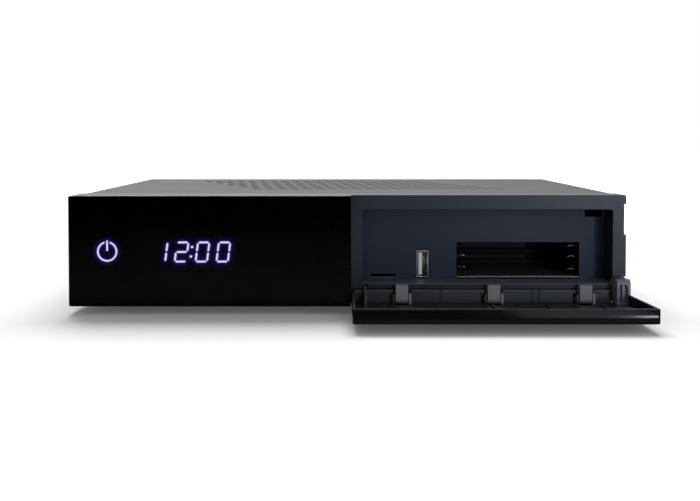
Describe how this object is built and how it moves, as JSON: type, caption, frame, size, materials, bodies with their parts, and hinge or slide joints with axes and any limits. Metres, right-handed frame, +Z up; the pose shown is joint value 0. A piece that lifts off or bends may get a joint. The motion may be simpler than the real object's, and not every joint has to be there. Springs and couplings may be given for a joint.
{
  "type": "satellite tv receiver",
  "caption": "Flat steel-cased receiver with vented top, dark display window and a drop-down flap over a bay with card slots and a USB socket; rocker power switch and sockets at the rear.",
  "frame": {"origin": "middle of the floor area the receiver takes with its flap open and its rear sockets, on the plane the rubber feet stand on", "axes": "+X to the right seen from the front, +Y to the back, +Z up"},
  "size_m": [0.27, 0.2551, 0.0574],
  "materials": {
    "cover_paint": "semi-matt fine powder coat",
    "zinc_sheet": "plain zinc-plated sheet",
    "rear_paint": "matt black",
    "bezel_plastic": "fine matt, dark blue-grey",
    "window_acrylic": "polished, smoked black",
    "bay_plastic": "matt, dark blue-grey",
    "hook_plastic": "matt mid grey",
    "flap_gloss": "polished navy-black",
    "flap_matte": "matt charcoal",
    "pin_steel": "drawn",
    "rubber": "matt black",
    "screw_steel": "blackened",
    "board_green": "solder mask",
    "chip_black": "moulded",
    "sink_metal": "extruded",
    "can_metal": "tin plate",
    "brass_plate": "plated",
    "nickel": "nickel plate",
    "socket_black": "moulded",
    "socket_white": "moulded",
    "glow_digit": "lit",
    "dark_segment": "unlit",
    "phono_plastic": "moulded",
    "magnet_black": "plain"
  },
  "bodies": {
    "chassis": {"base_pan": "zinc_sheet", "bay_panel": "bay_plastic", "board_screws": "screw_steel", "board_standoffs": "brass_plate", "capacitors": "chip_black", "card_cage": "socket_black", "card_header": "socket_black", "card_header_pins": "brass_plate", "card_reader_base": "socket_black", "cell_holder": "socket_black", "clock_cell": "nickel", "clock_digits": "glow_digit", "clock_digits_off": "dark_segment", "clock_display": "socket_black", "cover_screws": "screw_steel", "display_board": "board_green", "display_ribbon": "socket_white", "display_spacers": "socket_black", "display_window": "window_acrylic", "f_socket_cores": "socket_white", "f_sockets": "nickel", "flap_magnet": "magnet_black", "front_bezel": "bezel_plastic", "front_usb_base": "socket_black", "front_usb_contacts": "brass_plate", "front_usb_shell": "nickel", "front_usb_tongue": "socket_white", "hdmi_socket": "nickel", "heatsink": "sink_metal", "hinge_hooks": "hook_plastic", "inductors": "chip_black", "infrared_eye": "socket_black", "main_board": "board_green", "memory_card_reader": "nickel", "memory_chips": "chip_black", "network_contacts": "brass_plate", "network_jack": "nickel", "phono_block": "socket_black", "phono_sockets": "phono_plastic", "power_jack": "socket_black", "power_jack_pin": "nickel", "processor": "chip_black", "rear_panel": "rear_paint", "rear_usb_contacts": "brass_plate", "rear_usb_shell": "nickel", "rear_usb_tongue": "socket_white", "rubber_feet": "rubber", "standby_symbol": "glow_digit", "support_chips": "chip_black", "switch_blades": "brass_plate", "switch_body": "socket_black", "symbol_light_guide": "socket_white", "top_cover": "cover_paint", "tuner_cans": "can_metal"},
    "flap": {"flap_skin": "flap_gloss", "flap_liner": "flap_matte", "flap_arm": "flap_matte", "hinge_pins": "hook_plastic", "flap_keeper": "pin_steel"},
    "rocker": {"power_rocker": "socket_black"}
  },
  "joints": [
    {"name": "flap_hinge", "type": "hinge", "parent": "chassis", "child": "flap", "pos_m": [0.07, -0.0773, 0.0072], "axis": [-1, 0, 0], "range_deg": [0, 88.6]},
    {"name": "rocker_pivot", "type": "hinge", "parent": "chassis", "child": "rocker", "pos_m": [-0.097, 0.1135, 0.028], "axis": [1, 0, 0], "range_deg": [0, 16]}
  ]
}
